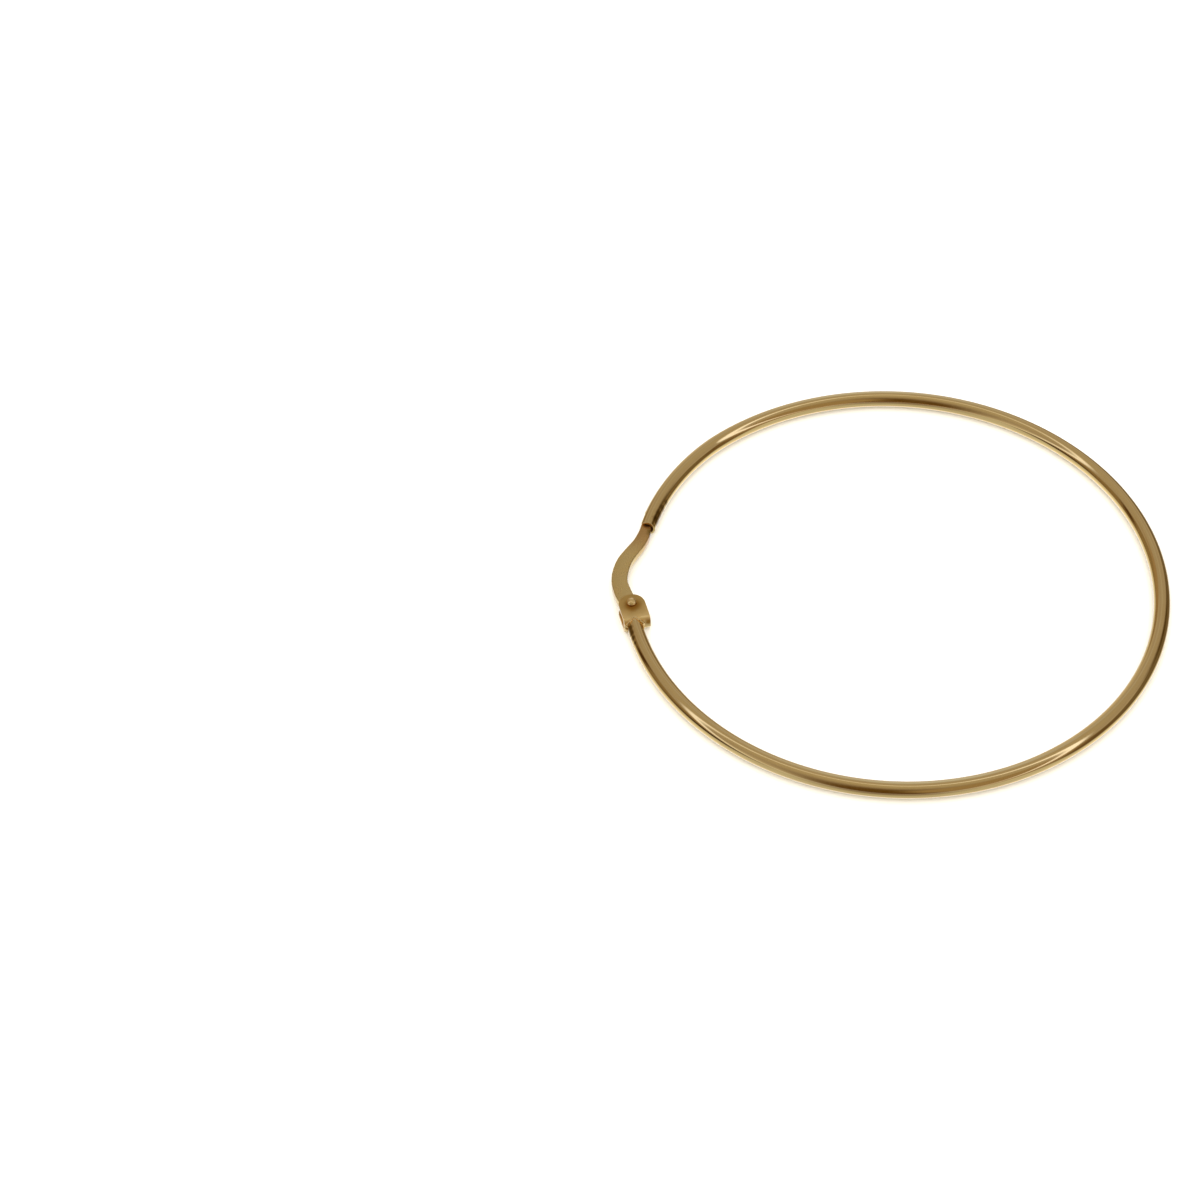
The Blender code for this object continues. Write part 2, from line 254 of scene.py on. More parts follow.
def shade(piece, sharp_degrees=CREASE_DEGREES):
    """Smooth shading that leaves flats flat."""
    piece.data.shade_smooth()
    piece.data.set_sharp_from_angle(angle=math.radians(sharp_degrees))
    weights = piece.modifiers.new("flat_flats", "WEIGHTED_NORMAL")
    weights.keep_sharp = True
    weights.weight = FLATS_WEIGHT
    apply_modifiers(piece)


def report(piece):
    low = [min(v.co[k] for v in piece.data.vertices) / MM for k in range(3)]
    high = [max(v.co[k] for v in piece.data.vertices) / MM for k in range(3)]
    size = [round(b - a, 2) for a, b in zip(low, high)]
    print(piece.name, len(piece.data.polygons), "faces,", size, "mm in its own frame")


# %% [markdown]
# ## The ring
# The ring is drawn tube, 1.5 mm across with a wall of 0.2 mm, bent round a mandrel and polished. A
# Curve with a round bevel would give such a ring in one line, but not the mouth: there the wire's
# tongue swings in through a slot in the tube's outer wall. So the tube is laid out as two skins
# with the same grid, outside and bore, whose lines run along the slot's edges. The grid's cells
# inside the slot are left out, and narrow strips join the two skins round the slot and the mouth.

# %% The ring's grid
RING_STEPS = 560
SLOT_STEPS = 12
SLOT_SIDES = 10
OTHER_SIDES = 38
TUBE_SIDES = SLOT_SIDES + OTHER_SIDES
TONGUE_SHARE = 0.64
TONGUE_THICKNESS = TONGUE_SHARE * 2 * BORE_RADIUS
TONGUE_CLEARANCE = 0.1 * MM
SLOT_HALF_HEIGHT = TONGUE_THICKNESS / 2 + TONGUE_CLEARANCE
SLOT_LENGTH = 1.7 * MM
BORE_SLOT = 1
MOUTH_EDGE = 0.075 * MM
RING_CREASE_DEGREES = 50
TUBE_START = WEB_ANGLE - WEB_THICKNESS / 2 / RING_RADIUS
SLOT_START = MOUTH_ANGLE - SLOT_LENGTH / RING_RADIUS


def grid_angles(radius):
    """Angles round the tube from its outermost line; the first ones span the slot."""
    edge = math.asin(SLOT_HALF_HEIGHT / radius)
    angles = []
    for side in range(SLOT_SIDES):
        angles.append(-edge + 2 * edge * side / SLOT_SIDES)
    for side in range(OTHER_SIDES):
        angles.append(edge + (math.tau - 2 * edge) * side / OTHER_SIDES)
    return angles


def tube_outline(angle, radius):
    """Points round the tube's centre line, upwards from its outermost line."""
    centre, outward = ring_point(angle), ring_outward(angle)
    return [centre + radius * (math.cos(turn) * outward + math.sin(turn) * UP)
            for turn in grid_angles(radius)]


# %% The ring's two skins, slot and mouth
def build_ring():
    stations = []
    for step in range(RING_STEPS):
        stations.append(TUBE_START + (SLOT_START - TUBE_START) * step / RING_STEPS)
    for step in range(SLOT_STEPS + 1):
        stations.append(SLOT_START + (MOUTH_ANGLE - SLOT_START) * step / SLOT_STEPS)

    outside = [tube_outline(angle, TUBE_RADIUS) for angle in stations]
    bore = [tube_outline(angle, BORE_RADIUS) for angle in stations]
    points = [point for outline in outside + bore for point in outline]
    skin_size = len(stations) * TUBE_SIDES

    def at(station, side, skin=0):
        return skin * skin_size + station * TUBE_SIDES + side % TUBE_SIDES

    faces = []
    inside = []
    for station in range(len(stations) - 1):
        for side in range(TUBE_SIDES):
            if station >= RING_STEPS and side < SLOT_SIDES:
                continue
            corners = [(station, side), (station, side + 1), (station + 1, side + 1),
                       (station + 1, side)]
            faces.append(tuple(at(*corner, 0) for corner in reversed(corners)))
            faces.append(tuple(at(*corner, 1) for corner in corners))
            inside.append(len(faces) - 1)
    # Walls of the slot: its end, and its lower and upper sides
    for side in range(SLOT_SIDES):
        edge = (at(RING_STEPS, side), at(RING_STEPS, side + 1))
        faces.append((*edge, at(RING_STEPS, side + 1, 1), at(RING_STEPS, side, 1)))
    last = len(stations) - 1
    for station in range(RING_STEPS, last):
        low = (at(station, 0), at(station, 0, 1), at(station + 1, 0, 1), at(station + 1, 0))
        high = (at(station, SLOT_SIDES), at(station + 1, SLOT_SIDES),
                at(station + 1, SLOT_SIDES, 1), at(station, SLOT_SIDES, 1))
        faces.append(low)
        faces.append(high)
    for side in range(SLOT_SIDES, TUBE_SIDES):
        after = side + 1
        faces.append((at(last, side), at(last, side, 1), at(last, after, 1), at(last, after)))
    faces.append(tuple(at(0, side) for side in range(TUBE_SIDES)))
    faces.append(tuple(at(0, side, 1) for side in reversed(range(TUBE_SIDES))))

    ring = new_piece("polished_ring", points, faces)
    for index in inside:
        ring.data.polygons[index].material_index = BORE_SLOT
    face_outwards(ring)
    break_edges(ring, MOUTH_EDGE, RING_CREASE_DEGREES)
    shade(ring, RING_CREASE_DEGREES)
    return ring


ring = build_ring()
report(ring)

# %% [markdown]
# ## The folded hinge
# The hinge is one strip of sheet, rounded at both ends and folded into a U. Its closed end is
# soldered to the tube and its two ears hold the wire's eye between them. Folding a flat strip with
# a Simple Deform modifier is possible, but a side view pushed through a plan view gives the same
# form with exact thicknesses: the U is drawn from the side, the rounded ears from above, and an
# intersection keeps what both views allow.

# %% The folded hinge
FOLD_STEPS = 14
EAR_END_STEPS = 56
INSIDE_CORNER_STEPS = 5
HOLE_SIDES = 64
WIRE_THICKNESS = 0.8 * MM
EYE_CLEARANCE = 0.075 * MM
EYE_ROOM = WIRE_THICKNESS + 2 * EYE_CLEARANCE
PIN_RADIUS = 0.3 * MM
PIN_CLEARANCE = 0.05 * MM
PIN_HOLE_RADIUS = PIN_RADIUS + PIN_CLEARANCE
RIVET_FLARE = 0.14 * MM
RIVET_LIFT = 0.03 * MM
INSIDE_CORNER = 0.1 * MM
HINGE_EDGE = 0.08 * MM
HINGE_CREASE_DEGREES = 35


def across_hinge(name, side_view):
    """Solid with an (along, height) outline, straight across the hinge and past its sides."""
    rings = []
    for across in (BRACKET_WIDTH, -BRACKET_WIDTH):
        rings.append([(x, across, z) for x, z in side_view])
    return new_piece(name, *loft(rings), HINGE_FRAME)


def folded_outline(back, low, high, radius, steps):
    """Side view with two round corners at its back, running on past the ears in front."""
    return [*arc(back + radius, low + radius, radius, 180, 270, steps),
            (BRACKET_WIDTH, low), (BRACKET_WIDTH, high),
            *arc(back + radius, high - radius, radius, 90, 180, steps)]


def build_hinge():
    back, height = -BRACKET_BACK, TUBE_DIAMETER
    side_view = folded_outline(back, 0.0, height, FOLD_RADIUS, FOLD_STEPS)
    hinge = across_hinge("folded_hinge", side_view)

    half = BRACKET_WIDTH / 2
    plan = [(2 * back, half), (2 * back, -half)]
    plan += arc(EAR_REACH - half, 0.0, half, -90, 90, EAR_END_STEPS)
    outlines = [[(x, y, z) for x, y in plan] for z in (-height, 2 * height)]
    combine(hinge, "INTERSECT", new_piece("plan_view", *loft(outlines), HINGE_FRAME))

    ear = (height - EYE_ROOM) / 2
    room = folded_outline(WEB_THICKNESS - BRACKET_BACK, ear, height - ear, INSIDE_CORNER,
                          INSIDE_CORNER_STEPS)
    combine(hinge, "DIFFERENCE", across_hinge("eye_room", room))

    flare = PIN_HOLE_RADIUS + RIVET_FLARE
    hole = [(flare, -height), (flare, RIVET_LIFT), (PIN_HOLE_RADIUS, RIVET_LIFT + RIVET_FLARE),
            (PIN_HOLE_RADIUS, 2 * height)]
    combine(hinge, "DIFFERENCE", turned("pin_hole", hole, HOLE_SIDES, HINGE_FRAME))
    break_edges(hinge, HINGE_EDGE, HINGE_CREASE_DEGREES)
    shade(hinge)
    return hinge


hinge = build_hinge()
report(hinge)

# %% [markdown]
# ## The solder
# Where the tube meets the hinge, solder has run into the corner and left a slightly lumpy fillet.
# A torus primitive would be too even. This one is a loft that follows the corner round the tube,
# climbs over the fold above and below, and swells where more solder was drawn in. It was filed
# nearly flush with the tube's top and bottom, so its points are kept between two levels.

# %% The solder
SEAM_STEPS = 160
SEAM_SIDES = 18
SEAM_RADIUS = 0.17 * MM
SEAM_THINNEST = 0.75
SEAM_AT_SIDES = 0.55
SEAM_SIDES_POWER = 3
# share of the thickness, waves round the tube, start
SEAM_WAVES = ((0.12, 3, 0.6), (0.08, 11, 2.1))
LUMP_SIZE = 0.26 * MM
LUMPINESS = 0.45
SEAM_PROUD = 0.02 * MM
TUBE_MEETS_WEB = HINGE_FRAME.inverted() @ ring_point(WEB_ANGLE)


def seam_swell(turn):
    """Thickness of the solder round the tube: most at the two sides, with slow waves."""
    sides = SEAM_AT_SIDES * abs(math.cos(turn)) ** SEAM_SIDES_POWER
    waves = sum(share * math.sin(count * turn + start) for share, count, start in SEAM_WAVES)
    return SEAM_THINNEST + sides + waves


def build_seam():
    middle = []
    for step in range(SEAM_STEPS):
        turn = math.tau * step / SEAM_STEPS
        across = TUBE_RADIUS * math.cos(turn)
        rise = TUBE_RADIUS * math.sin(turn)
        over = max(0.0, abs(rise) - (TUBE_RADIUS - FOLD_RADIUS))
        climb = FOLD_RADIUS - math.sqrt(max(0.0, FOLD_RADIUS ** 2 - over ** 2))
        middle.append(Vector((climb - BRACKET_BACK, TUBE_MEETS_WEB.y + across,
                              TUBE_RADIUS + rise)))
    centre = Vector((0.0, TUBE_MEETS_WEB.y, TUBE_RADIUS))
    rings = []
    for step in range(SEAM_STEPS):
        here = middle[step]
        along = (middle[(step + 1) % SEAM_STEPS] - middle[step - 1]).normalized()
        out = here - centre
        out.x = 0.0
        out = (out - out.dot(along) * along).normalized()
        side = along.cross(out)
        radius = SEAM_RADIUS * seam_swell(math.tau * step / SEAM_STEPS)
        ring_points = []
        for k in range(SEAM_SIDES):
            turn = math.tau * k / SEAM_SIDES
            spoke = radius * (math.cos(turn) * out + math.sin(turn) * side)
            lump = LUMPINESS * noise.noise((here + spoke) / LUMP_SIZE)
            place = here + (1 + lump) * spoke
            place.z = min(max(place.z, 0.0), TUBE_DIAMETER + SEAM_PROUD)
            ring_points.append(place)
        rings.append(ring_points)
    rings.append(rings[0])
    points, faces = loft(rings, close_start=False, close_end=False)
    seam = new_piece("solder_seam", points, faces, HINGE_FRAME)
    face_outwards(seam)
    seam.data.shade_smooth()
    return seam


seam = build_seam()
report(seam)

# %% [markdown]
# ## The rivet
# The pin is a rivet. Its lower end is spread flush into a countersink, and its upper end is tapped
# with a small hammer into a dome. Turning a profile makes the plain form. The hammer's blows are
# then laid on the dome as a few shallow flats: each pulls the points beyond it back to its plane.

# %% The rivet
RIVET_SIDES = 64
HEAD_RADIUS = 0.47 * MM
HEAD_HEIGHT = 0.3 * MM
HEAD_SEAT = TUBE_DIAMETER + RIVET_LIFT
HEAD_STEPS = 18
CROWN_DEGREES = 88
RIVET_SOFT_EDGE = 0.03 * MM
# azimuth and tilt of each blow in degrees, and how far out its flat lies as a share of the dome
HAMMER_BLOWS = ((0, 0, 0.975), (70, 38, 0.978), (160, 47, 0.975), (215, 30, 0.978),
                (290, 45, 0.975), (345, 30, 0.978))


def build_rivet():
    flare = PIN_RADIUS + RIVET_FLARE
    soft = RIVET_SOFT_EDGE
    profile = [(flare - soft, RIVET_LIFT), (flare, RIVET_LIFT + soft / 2),
               (PIN_RADIUS, RIVET_LIFT + RIVET_FLARE), (PIN_RADIUS, HEAD_SEAT)]
    profile += [(HEAD_RADIUS - soft, HEAD_SEAT)]
    profile += [(HEAD_RADIUS * out, HEAD_SEAT + soft + (HEAD_HEIGHT - soft) * up)
                for out, up in arc(0, 0, 1, 0, CROWN_DEGREES, HEAD_STEPS)]
    rivet = turned("domed_rivet", profile, RIVET_SIDES, HINGE_FRAME)
    for vertex in rivet.data.vertices:
        place = vertex.co - Vector((0.0, 0.0, HEAD_SEAT))
        if place.z <= 0.0:
            continue
        round_place = Vector((place.x / HEAD_RADIUS, place.y / HEAD_RADIUS, place.z / HEAD_HEIGHT))
        for azimuth, tilt, reach in HAMMER_BLOWS:
            a, t = math.radians(azimuth), math.radians(tilt)
            blow = Vector((math.sin(t) * math.cos(a), math.sin(t) * math.sin(a), math.cos(t)))
            beyond = round_place.dot(blow) - reach
            if beyond > 0.0:
                round_place -= beyond * blow
        vertex.co = Vector((round_place.x * HEAD_RADIUS, round_place.y * HEAD_RADIUS,
                            HEAD_SEAT + round_place.z * HEAD_HEIGHT))
    shade(rivet)
    return rivet


rivet = build_rivet()
report(rivet)

# %% [markdown]
# ## The swan-neck wire
# The wire is stamped from sheet: a flat strip that bulges outwards in a swan neck to make room for
# the ear lobe, then straightens and narrows to the tongue. It is swept along the CAD model's own
# table of sections, with the same smooth curve through them and many more steps. Its long edges
# are rounded by tumbling, so each section is a rectangle with round corners.

# %% The wire's route
WIRE_STEPS = 180
TONGUE_STEPS = 12
CORNER_STEPS = 5
EYE_SIDES = 96
WIRE_CREASE_DEGREES = 30
WIRE_WIDTH = 1.6 * MM
WIRE_RISE = 1.58 * MM
TONGUE_LENGTH = 1.3 * MM
TONGUE_SIDE_PLAY = 0.075 * MM
TONGUE_WIDTH = 2 * (BORE_RADIUS - TONGUE_SIDE_PLAY)
TONGUE_OFFSET = 0.2 * BORE_RADIUS
EDGE_ROUND = 0.1 * MM

# along the way to the mouth, bulge, narrowing of the width, thinning of the thickness
NECK_COLUMNS = ("along", "rise", "narrow", "thin")
NECK_SECTIONS = (
    (0.00, 0.00, 0.00, 0.0),
    (0.09, 0.42, 0.00, 0.0),
    (0.16, 0.66, 0.02, 0.0),
    (0.27, 0.93, 0.18, 0.0),
    (0.38, 1.00, 0.20, 0.0),
    (0.53, 0.89, 0.31, 0.0),
    (0.65, 0.61, 0.46, 0.2),
    (0.78, 0.24, 0.59, 0.4),
    (0.90, 0.04, 0.73, 0.7),
    (1.00, 0.00, 1.00, 1.0),
)


def neck_curve(name, along, end_slope):
    """Smooth value of one column of the table at a share of the way to the mouth."""
    column = NECK_COLUMNS.index(name)
    rows = NECK_SECTIONS
    slopes = []
    for row in range(len(rows)):
        before = rows[max(row - 1, 0)]
        after = rows[min(row + 1, len(rows) - 1)]
        slopes.append((after[column] - before[column]) / (after[0] - before[0]))
    slopes[-1] = end_slope
    for row in range(len(rows) - 1):
        low, high = rows[row], rows[row + 1]
        if along <= high[0] or row == len(rows) - 2:
            break
    span = high[0] - low[0]
    t = (along - low[0]) / span
    return (
        low[column] * (1 + 2 * t) * (1 - t) ** 2
        + slopes[row] * span * t * (1 - t) ** 2
        + high[column] * t * t * (3 - 2 * t)
        - slopes[row + 1] * span * t * t * (1 - t)
    )


def wire_route():
    """Places, widths and thicknesses of the strip, from the pin's axis to the tongue's tip."""
    pin = PIN_PLACE + PHOTO_LIFT
    into_tube = -ring_heading(MOUTH_ANGLE)
    outward_at_mouth = Vector((-into_tube.y, into_tube.x, 0.0))
    mouth = ring_point(MOUTH_ANGLE) + TONGUE_OFFSET * outward_at_mouth
    line = mouth - pin
    forward = line.normalized()
    outward = Vector((-forward.y, forward.x, 0.0))
    end_slope = into_tube.dot(outward) / into_tube.dot(forward) * line.length / WIRE_RISE
    route = []
    for step in range(WIRE_STEPS + 1):
        along = step / WIRE_STEPS
        rise = neck_curve("rise", along, end_slope)
        narrow = neck_curve("narrow", along, 0.0)
        thin = min(1.0, max(0.0, neck_curve("thin", along, 0.0)))
        place = pin + along * line + rise * WIRE_RISE * outward
        width = WIRE_WIDTH + (TONGUE_WIDTH - WIRE_WIDTH) * narrow
        thickness = WIRE_THICKNESS + (TONGUE_THICKNESS - WIRE_THICKNESS) * thin
        route.append((place, width, thickness))
    for step in range(1, TONGUE_STEPS + 1):
        reach = TONGUE_LENGTH * step / TONGUE_STEPS
        route.append((mouth + reach * into_tube, TONGUE_WIDTH, TONGUE_THICKNESS))
    for step in range(1, CORNER_STEPS + 1):
        turn = math.pi / 2 * step / CORNER_STEPS
        shrink = 2 * EDGE_ROUND * (1 - math.cos(turn))
        blunt = route[WIRE_STEPS + TONGUE_STEPS][0] + EDGE_ROUND * math.sin(turn) * into_tube
        route.append((blunt, TONGUE_WIDTH - shrink, TONGUE_THICKNESS - shrink))
    return route


# %% The wire, its eye and its hole
def strip_section(place, heading, width, thickness):
    """Rectangle with round corners across the strip, seen against its heading."""
    across = Vector((-heading.y, heading.x, 0.0)).normalized()
    a, b = width / 2 - EDGE_ROUND, thickness / 2 - EDGE_ROUND
    outline = []
    for x, z, start in ((a, b, 0), (-a, b, 90), (-a, -b, 180), (a, -b, 270)):
        outline += arc(x, z, EDGE_ROUND, start, start + 90, CORNER_STEPS)
    return [place + x * across + z * UP for x, z in outline]


def build_wire():
    route = wire_route()
    rings = []
    for index, (place, width, thickness) in enumerate(route):
        before = route[max(index - 1, 0)][0]
        after = route[min(index + 1, len(route) - 1)][0]
        rings.append(strip_section(place, after - before, width, thickness))
    wire = new_piece("swan_neck_wire", *loft(rings))

    half = WIRE_THICKNESS / 2
    inner = EYE_RADIUS - EDGE_ROUND
    disc = arc(inner, -half + EDGE_ROUND, EDGE_ROUND, -90, 0, CORNER_STEPS)
    disc += arc(inner, half - EDGE_ROUND, EDGE_ROUND, 0, 90, CORNER_STEPS)
    at_pin = Matrix.Translation(route[0][0])
    combine(wire, "UNION", turned("eye", disc, EYE_SIDES, at_pin))
    hole = [(PIN_HOLE_RADIUS, -WIRE_THICKNESS), (PIN_HOLE_RADIUS, WIRE_THICKNESS)]
    combine(wire, "DIFFERENCE", turned("eye_hole", hole, HOLE_SIDES, at_pin))
    shade(wire, WIRE_CREASE_DEGREES)
    return wire


wire = build_wire()
report(wire)

# %% [markdown]
# ## Finishes
# All the metal is one alloy of yellow gold, so one group mixes its colour for every piece. What
# differs is the surface: the tube is polished like a mirror, the stamped wire is satin from
# tumbling and wear, and the hinge is duller. The shared effects are node groups with named inputs,
# built once and placed in each material with its own values. They put out masks and colours.

# %% Shared effects
MARK_GRAIN = 2.0
MARK_UNEVENNESS = 0.2


def new_group(name, inputs, outputs):
    """Empty shader node group, its inputs from (name, kind, start value) and its outputs."""
    group = bpy.data.node_groups.new(name, "ShaderNodeTree")
    for label, kind, value in inputs:
        socket = group.interface.new_socket(label, in_out="INPUT", socket_type=kind)
        if value is not None:
            socket.default_value = value
    for label, kind in outputs:
        group.interface.new_socket(label, in_out="OUTPUT", socket_type=kind)
    enter = group.nodes.new("NodeGroupInput")
    leave = group.nodes.new("NodeGroupOutput")
    return group, enter.outputs, leave.inputs


def add(tree, kind, links=None, **settings):
    """Add a node, set its properties and values, and link sockets into it."""
    node = tree.nodes.new(kind)
    for name, value in settings.items():
        setattr(node, name, value)
    for socket, source in (links or {}).items():
        if isinstance(source, bpy.types.NodeSocket):
            tree.links.new(source, node.inputs[socket])
        else:
            node.inputs[socket].default_value = source
    return node


def calculate(tree, operation, *values):
    """Result of a Math node."""
    return add(tree, "ShaderNodeMath", dict(enumerate(values)), operation=operation).outputs[0]


def soft_step(tree, value, start, end, before=0.0, after=1.0):
    """Smooth change from one value to another while the input runs from start to end."""
    step = add(tree, "ShaderNodeMapRange", {"Value": value, "From Min": start, "From Max": end,
                                            "To Min": before, "To Max": after},
               interpolation_type="SMOOTHSTEP")
    return step.outputs["Result"]


def mix_colours(tree, factor, under, over, blend_type="MIX"):
    """Lay one colour over another by a factor from 0 to 1."""
    mix = add(tree, "ShaderNodeMix", {0: factor, 6: under, 7: over}, data_type="RGBA",
              blend_type=blend_type)
    return mix.outputs[2]


def build_fine_lines():
    """Fine lines left by polishing, stretched along one direction of the surface."""
    group, enter, leave = new_group(
        "polishing_lines",
        [("Vector", "NodeSocketVector", None), ("Fineness", "NodeSocketFloat", 8.0),
         ("Stretch", "NodeSocketFloat", 20.0)],
        [("Lines", "NodeSocketFloat")],
    )
    split = add(group, "ShaderNodeSeparateXYZ", {"Vector": enter["Vector"]})
    along = calculate(group, "DIVIDE", split.outputs["X"], enter["Stretch"])
    joined = add(group, "ShaderNodeCombineXYZ", {"X": along, "Y": split.outputs["Y"],
                                                 "Z": split.outputs["Z"]})
    grain = add(group, "ShaderNodeTexNoise", {"Vector": joined.outputs[0],
                                              "Scale": enter["Fineness"],
                                              "Detail": 3.0, "Roughness": 0.6})
    group.links.new(grain.outputs["Fac"], leave["Lines"])
    return group


def build_soft_patches():
    """Slow, soft patches between 0 and 1, for handling marks and a breath of tarnish."""
    group, enter, leave = new_group(
        "soft_patches",
        [("Vector", "NodeSocketVector", None), ("Size", "NodeSocketFloat", 1.0),
         ("Threshold", "NodeSocketFloat", 0.5), ("Softness", "NodeSocketFloat", 0.2)],
        [("Mask", "NodeSocketFloat")],
    )
    scale = calculate(group, "DIVIDE", 1.0, enter["Size"])
    grain = add(group, "ShaderNodeTexNoise", {"Vector": enter["Vector"], "Scale": scale,
                                              "Detail": 2.0, "Roughness": 0.5})
    low = calculate(group, "SUBTRACT", enter["Threshold"], enter["Softness"])
    high = calculate(group, "ADD", enter["Threshold"], enter["Softness"])
    group.links.new(soft_step(group, grain.outputs["Fac"], low, high), leave["Mask"])
    return group


def build_gold_tone():
    """Colour of the alloy: clean gold, redder and darker where tarnish lies on it or painted shade
    is laid on it.
    """
    group, enter, leave = new_group(
        "gold_tone",
        [("Clean", "NodeSocketColor", (0.9, 0.6, 0.2, 1)),
         ("Darkened", "NodeSocketColor", (0.6, 0.35, 0.1, 1)),
         ("Darken", "NodeSocketFloat", 0.0)],
        [("Colour", "NodeSocketColor")],
    )
    tone = mix_colours(group, enter["Darken"], enter["Clean"], enter["Darkened"])
    group.links.new(tone, leave["Colour"])
    return group


def build_stain_and_shade():
    """Round patch for tarnish and for painted shade: 1 near the point and 0 further out, with an
    uneven edge.
    """
    group, enter, leave = new_group(
        "stain_and_shade",
        [("Vector", "NodeSocketVector", None), ("Point", "NodeSocketVector", None),
         ("Full", "NodeSocketFloat", 0.0005), ("Faded", "NodeSocketFloat", 0.001)],
        [("Mask", "NodeSocketFloat")],
    )
    distance = add(group, "ShaderNodeVectorMath", {0: enter["Vector"], 1: enter["Point"]},
                   operation="DISTANCE")
    scale = calculate(group, "DIVIDE", MARK_GRAIN, enter["Faded"])
    grain = add(group, "ShaderNodeTexNoise", {"Vector": enter["Vector"], "Scale": scale,
                                              "Detail": 3.0})
    uneven = add(group, "ShaderNodeMapRange", {"Value": grain.outputs["Fac"],
                                               "To Min": 1 - MARK_UNEVENNESS,
                                               "To Max": 1 + MARK_UNEVENNESS})
    reach = calculate(group, "MULTIPLY", distance.outputs["Value"], uneven.outputs["Result"])
    mask = soft_step(group, reach, enter["Full"], enter["Faded"], 1.0, 0.0)
    group.links.new(mask, leave["Mask"])
    return group


fine_lines = build_fine_lines()
soft_patches = build_soft_patches()
gold_tone = build_gold_tone()
stain_and_shade = build_stain_and_shade()
print("shared effects:", fine_lines.name, soft_patches.name, gold_tone.name, stain_and_shade.name)

# %% [markdown]
# ## Laying out the surface
# The polishing lines have to run along the tube and along the wire, and object coordinates can't
# do that on a ring. So each piece gets a UV map in millimetres: U runs along it, V round it.

# %% Surface coordinates in millimetres
def lay_out_ring(piece):
    layer = piece.data.uv_layers.new(name="along_and_round")
    for loop in piece.data.loops:
        place = piece.data.vertices[loop.vertex_index].co
        angle = math.atan2(place.y, place.x)
        lift = place.z - TUBE_RADIUS
        out = math.hypot(place.x, place.y) - RING_RADIUS
        layer.data[loop.index].uv = (angle * RING_RADIUS / MM,
                                     math.atan2(lift, out) * TUBE_RADIUS / MM)


def lay_out_flat(piece, matrix):
    """U along and V across a flat piece, with its sides folded out."""
    layer = piece.data.uv_layers.new(name="along_and_round")
    inverse = matrix.inverted()
    for loop in piece.data.loops:
        place = inverse @ piece.matrix_world @ piece.data.vertices[loop.vertex_index].co
        layer.data[loop.index].uv = (place.x / MM, (place.y + place.z) / MM)


WIRE_FRAME = frame_at(PIN_PLACE, ring_point(MOUTH_ANGLE) - PIN_PLACE)
lay_out_ring(ring)
for flat_piece, its_frame in ((hinge, HINGE_FRAME), (seam, HINGE_FRAME), (rivet, HINGE_FRAME),
                              (wire, WIRE_FRAME)):
    lay_out_flat(flat_piece, its_frame)
print("laid out", len(ring.data.loops), "corners of the ring")

# %% [markdown]
# ## The gold
# One recipe serves every piece: a metallic Principled shader whose base colour comes from the
# shared tone, whose roughness wanders with the patches and lines, and whose bump is only those
# same lines, microns deep. Each piece has its own values, because each was finished with another
# tool. The bore inside the tube is coloured a dark brown, and the wire's closing end has browned
# where fingers and cloths can't reach. The other brown marks are painted shade: painted reflection
# and shade round the rivet, a painted shadow beside it, painted shade in the corner at the web,
# dark streaks along the tube beside the solder and by the mouth, and a patch on the wire where it
# enters the mouth. Painting these by hand would tie them to one mesh, so each mark fades with the
# distance from a point of the piece.

# %% The gold materials
CLEAN_GOLD = (0.93, 0.62, 0.215, 1)
TARNISHED_GOLD = (0.62, 0.33, 0.09, 1)
WORN_GOLD = (0.77, 0.515, 0.165, 1)
# Painted reflection and shade: the brown on the hinge's ear round the rivet
SHADE_AND_REFLECTION_GOLD = (0.60, 0.35, 0.085, 1)
# Painted shade: the rivet's shadow on the ear, and the corner where the web meets the tube
PAINTED_DEEP_SHADE = (0.40, 0.17, 0.02, 1)
BORE_GOLD = (0.38, 0.17, 0.02, 1)
# Painted shade: dark streaks along the tube beside the solder and by the mouth, and on the wire
PAINTED_STREAK_SHADE = (0.30, 0.16, 0.025, 1)
PATCH_THRESHOLD = 0.55
PATCH_SOFTNESS = 0.2
# Range of patches and lines added up, over which the roughness wanders
WANDER_RANGE = (0.3, 1.6)


def tube_side(angle, outward, up):
    """Point on the tube's skin, given as shares of its radius outwards and upwards."""
    return ring_point(angle) + TUBE_RADIUS * (outward * ring_outward(angle) + up * UP)


# Tarnish and painted shade marks: point in the piece's own frame, radius where full, radius where
# faded, colour
# Round the rivet: painted reflection and shade, a painted shadow of the rivet towards the web,
# and painted shade in the corner where the web meets the tube
RIVET_SHADES = (
    ((0.0, 0.0, TUBE_DIAMETER), 0.75 * MM, 2.2 * MM, SHADE_AND_REFLECTION_GOLD),
    ((-0.3 * MM, 0.0, TUBE_DIAMETER), 0.4 * MM, 1.0 * MM, PAINTED_DEEP_SHADE),
    ((-BRACKET_BACK, -1.0 * MM, 1.0 * MM), 0.1 * MM, 0.5 * MM, PAINTED_DEEP_SHADE),
)
# On the wire: tarnish at its closing end, and painted shade on its inner side at the mouth
WIRE_SHADE_PAST_MOUTH = 0.7 * MM
WIRE_SHADE_SIDE = (-0.8, 0.1)
CLOSING_TARNISH_AND_SHADE = (
    (ring_point(MOUTH_ANGLE), 0.8 * MM, 4.5 * MM, TARNISHED_GOLD),
    (tube_side(MOUTH_ANGLE + WIRE_SHADE_PAST_MOUTH / RING_RADIUS, *WIRE_SHADE_SIDE), 0.3 * MM,
     0.75 * MM, PAINTED_STREAK_SHADE),
)
